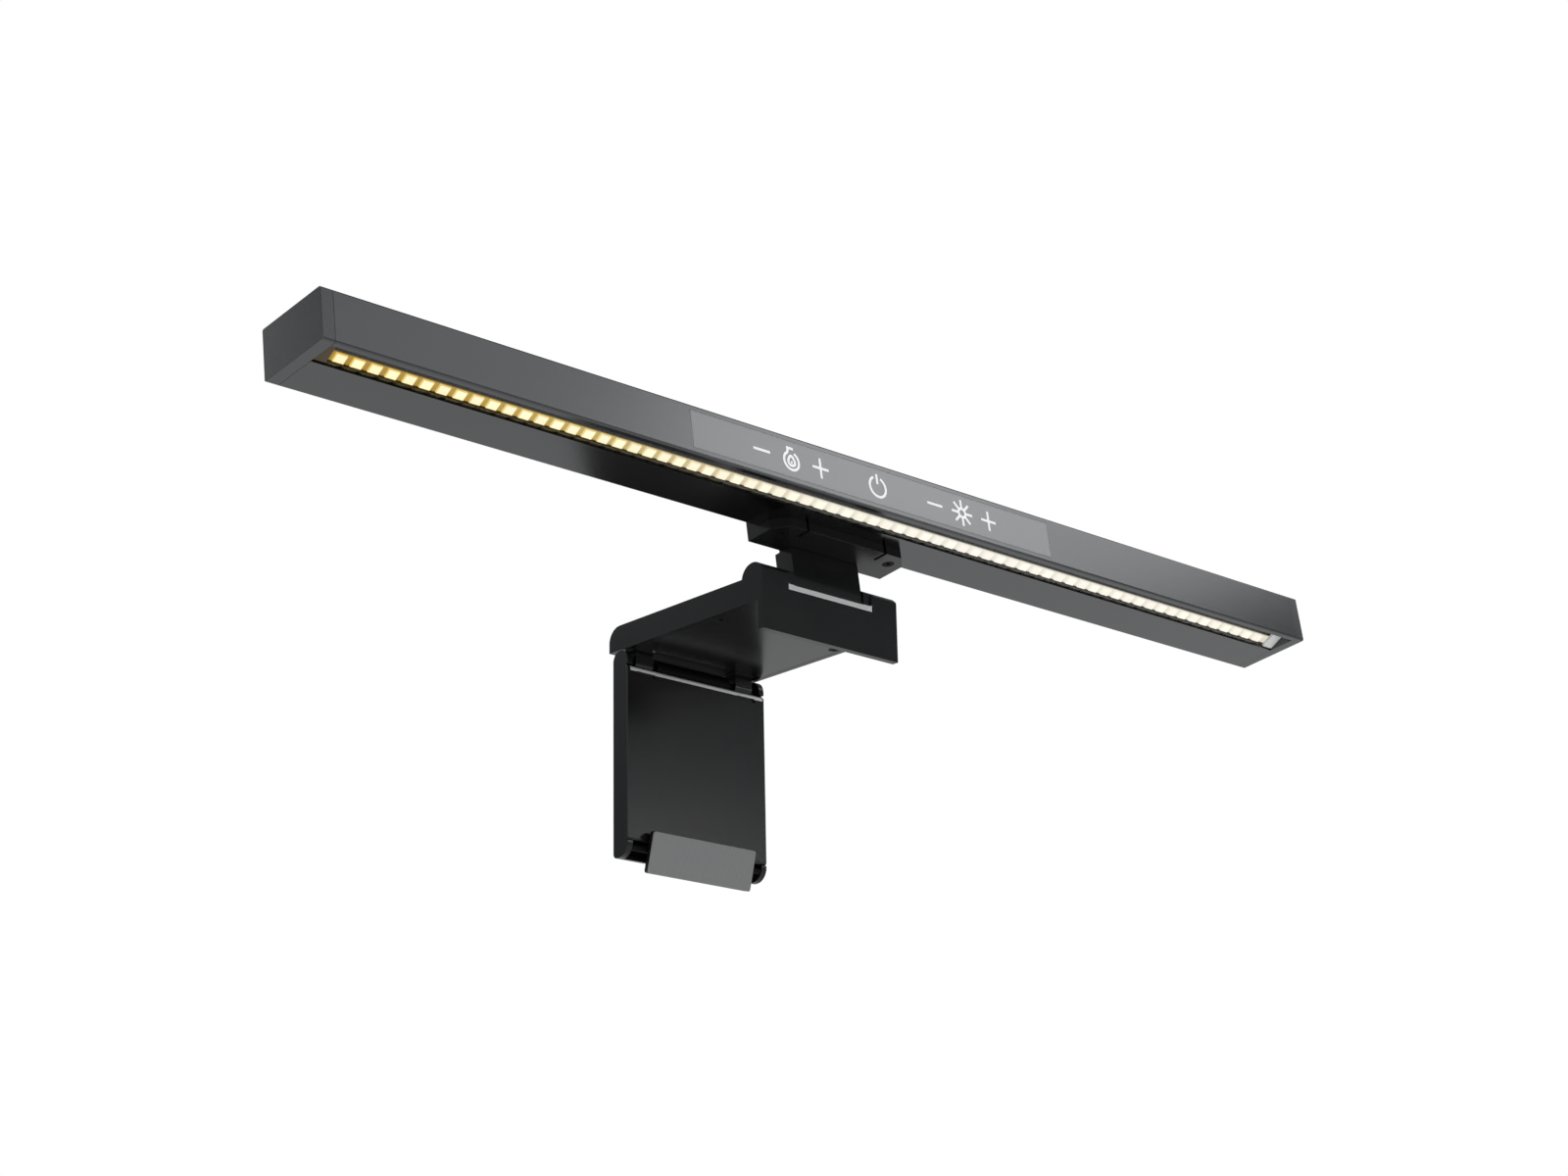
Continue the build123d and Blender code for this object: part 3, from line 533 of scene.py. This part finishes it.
def line(x1, z1, x2, z2):
    """Two ends of a straight stroke, in mm from the panel's middle height."""
    return np.array([[x1, z1], [x2, z2]])


def arc(x, z, radius, start, end, steps=28):
    """Points of an arc: its middle plus its radius times the cosine and sine of the angle."""
    angle = np.radians(np.linspace(start, end, steps))
    return np.stack([x + radius * np.cos(angle), z + radius * np.sin(angle)], axis=1)


def drop(x, z, width, height, steps=40):
    """Outline of a drop: a circle whose sides draw in to a point as they rise."""
    turn = np.linspace(0.0, 2 * np.pi, steps)
    rise = (1 - np.cos(turn)) / 2
    half = np.sin(turn) * (1 - 0.55 * rise)
    return np.stack([x + width / 2 * half, z - height / 2 + height * rise], axis=1)


def minus(x):
    """Less: one bar."""
    return [line(x - 3.1, 0, x + 3.1, 0)]


def plus(x):
    """More: two bars that cross."""
    return [line(x - 3.1, 0, x + 3.1, 0), line(x, -3.2, x, 3.2)]


def colour_dial(x):
    """Colour of the light: a drop inside an open ring with a short neck."""
    ring = arc(x, -0.6, 2.9, 118, 422)
    neck = [line(x - 1.35, 1.9, x - 1.0, 3.3), line(x - 1.4, 3.6, x + 1.0, 3.5)]
    return [ring] + neck + [drop(x, -0.5, 3.4, 3.2), line(x - 0.2, -1.0, x + 0.2, -1.0)]


def power(x):
    """On and off: an open ring with a bar through its gap."""
    return [arc(x, -0.2, 3.3, 118, 422), line(x, 0.9, x, 4.0)]


def sun(x):
    """Brightness: a ring with eight rays."""
    rays = [
        line(
            x + 1.6 * np.cos(turn),
            1.6 * np.sin(turn),
            x + 4.3 * np.cos(turn),
            4.3 * np.sin(turn),
        )
        for turn in np.radians(np.arange(0, 360, 45))
    ]
    return [arc(x, 0, 1.45, 0, 360)] + rays


def ribbon(path):
    """Flat stroke along a path.

    Each point is moved half the stroke's width both ways, square to the path. An open path is
    first drawn out a little at both ends.
    """
    ahead = np.gradient(path, axis=0)
    ahead /= np.linalg.norm(ahead, axis=1, keepdims=True)
    closed = np.allclose(path[0], path[-1])
    if closed:
        ahead[0] = ahead[-1] = (ahead[0] + ahead[-1]) / np.linalg.norm(ahead[0] + ahead[-1])
    else:
        path = path.copy()
        path[0] -= ahead[0] * stroke_reach * 0.3
        path[-1] += ahead[-1] * stroke_reach * 0.3
    aside = np.stack([-ahead[:, 1], ahead[:, 0]], axis=1) * stroke_reach
    return np.stack([path - aside, path + aside], axis=1)


def printed(name, strokes):
    """Icons as a thin raised print on the panel: each stroke is a ribbon on the panel's face."""
    points = []
    faces = []
    for path in strokes:
        edge = ribbon(path).reshape(-1, 2) / 1000
        start = sum(len(stroke) for stroke in points)
        step = start + 2 * np.arange(len(path) - 1)
        points.append(edge)
        faces.append(np.stack([step, step + 2, step + 3, step + 1], axis=1))
    flat = np.concatenate(points)
    place = (
        bar_middle
        + flat[:, :1] * rightwards
        + rearwards * (panel_face - icon_lift)
        + flat[:, 1:] * upwards
    )
    mesh = bpy.data.meshes.new(name)
    mesh.from_pydata(place.tolist(), [], np.concatenate(faces)[:, ::-1].tolist())
    mesh.materials.append(white_print_painted_glow.material)
    piece = add_piece(name, mesh, "lamp")
    thick = piece.modifiers.new("print_thickness", "SOLIDIFY")
    thick.thickness = icon_thickness
    thick.offset = 0.0


printed(
    "panel_icons",
    minus(-48.4) + colour_dial(-36.8) + plus(-25.1) + power(-1.7) + minus(22.5) + sun(34.3) + plus(46.0),
)


# Bracket and neck: black glass-filled nylon. The bracket is screwed up into the bar, and the neck
# is screwed to its back and ends in a knuckle that turns on the clamp's shaft.
black_nylon = Finish("black_nylon", (0.006, 0.006, 0.0062), 0.25, Specular_IOR_Level=0.32)
nylon_grain = black_nylon.grain(6500.0, 3.0)
nylon_flow = black_nylon.grain(45.0, 3.0)
black_nylon.colour(black_nylon.blend(nylon_flow, (0.004, 0.004, 0.0042), (0.008, 0.008, 0.0082)))
black_nylon.rough(0.17 + nylon_flow * 0.05 + nylon_grain * 0.06)
black_nylon.bump(nylon_grain, 0.000005)
moulded("bar_bracket", "bracket", "lamp", black_nylon, 0.0004)
moulded("neck", "neck_arm", "lamp", black_nylon, 0.0003)


# Screws and pins: steel, blacked so that they don't show against the nylon. The pins turn in the
# hinge knuckles.
black_screw = Finish("blacked_steel", (0.003, 0.003, 0.003), 0.6, Specular_IOR_Level=0.1)
screw_wear = black_screw.grain(2500.0, 3.0)
black_screw.colour(black_screw.blend(screw_wear, (0.002, 0.002, 0.002), (0.005, 0.005, 0.005)))
black_screw.rough(0.5 + screw_wear * 0.2)
for screw in ("bracket_screws", "neck_screws", "clamp_screws", "leg_pin", "leg_sleeve", "foot_pin"):
    wear(screw, black_screw)


# Bare metal: the tilt shaft and its washers are turned steel, and so are the leg's weight and the
# shell of the power inlet.
bright_steel = Finish("turned_steel", (0.55, 0.55, 0.56), 0.28, Metallic=1.0)
turning = bright_steel.grain(3500.0, 3.0, stretch=(1.0, 0.05, 0.05))
bright_steel.colour(bright_steel.blend(turning, (0.48, 0.48, 0.49), (0.62, 0.62, 0.63)))
bright_steel.rough(0.22 + turning * 0.16)
bright_steel.bump(turning, 0.000003)
for steel in ("tilt_shaft", "tilt_washers", "leg_weight", "usb_socket"):
    wear(steel, bright_steel)


# Clamp: a black moulded platform that rests on the monitor, with a lip in front and a cover
# screwed up into its underside. The shaft's barrel crosses it behind the lip. The sloped ledge
# in front of the neck has a painted highlight, and between its lugs the cover is dull black painted
# shade.
def nylon_with_painted_patch(name, low, high, colour, roughness, metal, gloss):
    """Black nylon with a painted highlight or painted shade: another colour and gloss between two
    corners of a box.
    """
    finish = Finish(name, (0.006, 0.006, 0.0062), 0.25, Specular_IOR_Level=gloss)
    inside = 1.0
    for axis, lowest, highest in zip("XYZ", low, high):
        inside = (finish.along(axis) > lowest) * (finish.along(axis) < highest) * inside
    flow = finish.grain(45.0, 3.0)
    fine = finish.grain(6500.0, 3.0)
    nylon = finish.blend(flow, (0.004, 0.004, 0.0042), (0.008, 0.008, 0.0082))
    finish.colour(finish.blend(inside, nylon, colour))
    finish.rough(0.17 + flow * 0.05 + fine * 0.06 + inside * (roughness - 0.2))
    finish.feed(finish.shader.inputs["Metallic"], inside * metal)
    finish.bump(fine, 0.000005)
    return finish


lip_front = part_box("clamp_top")[0][1]
ledge_half_width = 0.0172
ledge_depth = 0.0011
ledge_height = 0.002
ledge_top = 0.00705
clear = 0.001                           # past a face, so that the whole face is inside
ledge_highlight_low = (-ledge_half_width, lip_front - clear, ledge_top - ledge_height)
ledge_highlight_high = (ledge_half_width, lip_front + ledge_depth, ledge_top)
clamp_nylon_painted_highlight = nylon_with_painted_patch("clamp_nylon_painted_highlight", ledge_highlight_low, ledge_highlight_high, (0.95, 0.95, 0.94), 0.4, 0.3, 0.26)
moulded("clamp_top", "clamp_platform", "clamp", clamp_nylon_painted_highlight, 0.0008)

between_lugs = 0.0171
painted_shade_front = 0.0297                     # just behind the monitor's gap
painted_shade_back = 0.041
painted_shade_low = (-between_lugs, painted_shade_front, -clear)
painted_shade_high = (between_lugs, painted_shade_back, clear)
# near-black, unreflecting patch between the lugs: painted shade on the cover
cover_nylon_painted_shade = nylon_with_painted_patch("clamp_cover_painted_shade", painted_shade_low, painted_shade_high, (0.002, 0.002, 0.002), 0.8, 1.0, 0.36)
moulded("clamp_floor", "clamp_cover", "clamp", cover_nylon_painted_shade, 0.0003)


# Lip pad: soft black silicone behind the lip, which keeps it off the screen's frame.
silicone = Finish("black_silicone", (0.022, 0.022, 0.023), 0.7)
silicone_grain = silicone.grain(5000.0, 3.0)
silicone.rough(0.6 + silicone_grain * 0.2)
silicone.bump(silicone_grain, 0.00002)
moulded("lip_pad", "lip_cushion", "clamp", silicone, 0.0004)


# Leg: a thin black box that hangs behind the monitor, with a steel weight between its rear shell
# and its front plate. The plate's top edge has a painted highlight between its corners.
plate_low, plate_high = (np.array(corner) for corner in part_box("leg_plate"))
edge_height = 0.0019
edge_depth = 0.0006
left_corner = 0.0012
right_corner = 0.0006
edge_highlight_low = (plate_low[0] + left_corner, plate_low[1] - clear, plate_high[2] - edge_height)
edge_highlight_high = (plate_high[0] - right_corner, plate_low[1] + edge_depth, plate_high[2] + clear)
plate_nylon_painted_highlight = nylon_with_painted_patch("leg_cover_painted_highlight", edge_highlight_low, edge_highlight_high, (0.7, 0.7, 0.69), 0.4, 0.3, 0.4)
moulded("leg_shell", "leg_case", "leg", black_nylon, 0.0004)
moulded("leg_plate", "leg_cover", "leg", plate_nylon_painted_highlight, 0.0002)


# Foot: a flap on two knuckles, faced with a grey rubber pad that presses on the monitor's back.
# The pad has fine ribs that run up and down.
rib_pitch = 0.9                         # in mm
moulded("foot_plate", "foot_flap", "foot", black_nylon, 0.0003)
grey_rubber = Finish("grey_rubber", (0.15, 0.15, 0.153), 0.6)
rubber_grain = grey_rubber.grain(4500.0, 3.0)
rib = abs((grey_rubber.along("X") * 1000.0 % rib_pitch) - rib_pitch / 2) * 2.0
# colour mixes random fleck with painted shade: darker in the grooves between ribs, lighter on their
# ridges
fleck_and_groove_shade = rubber_grain * 0.5 + rib * 0.5
grey_rubber.colour(grey_rubber.blend(fleck_and_groove_shade, (0.2, 0.2, 0.2), (0.26, 0.26, 0.26)))
grey_rubber.rough(0.5 + rubber_grain * 0.2)
grey_rubber.bump(rubber_grain * 0.4 + rib, 0.00006)
moulded("foot_pad", "foot_face", "foot", grey_rubber, 0.0002)
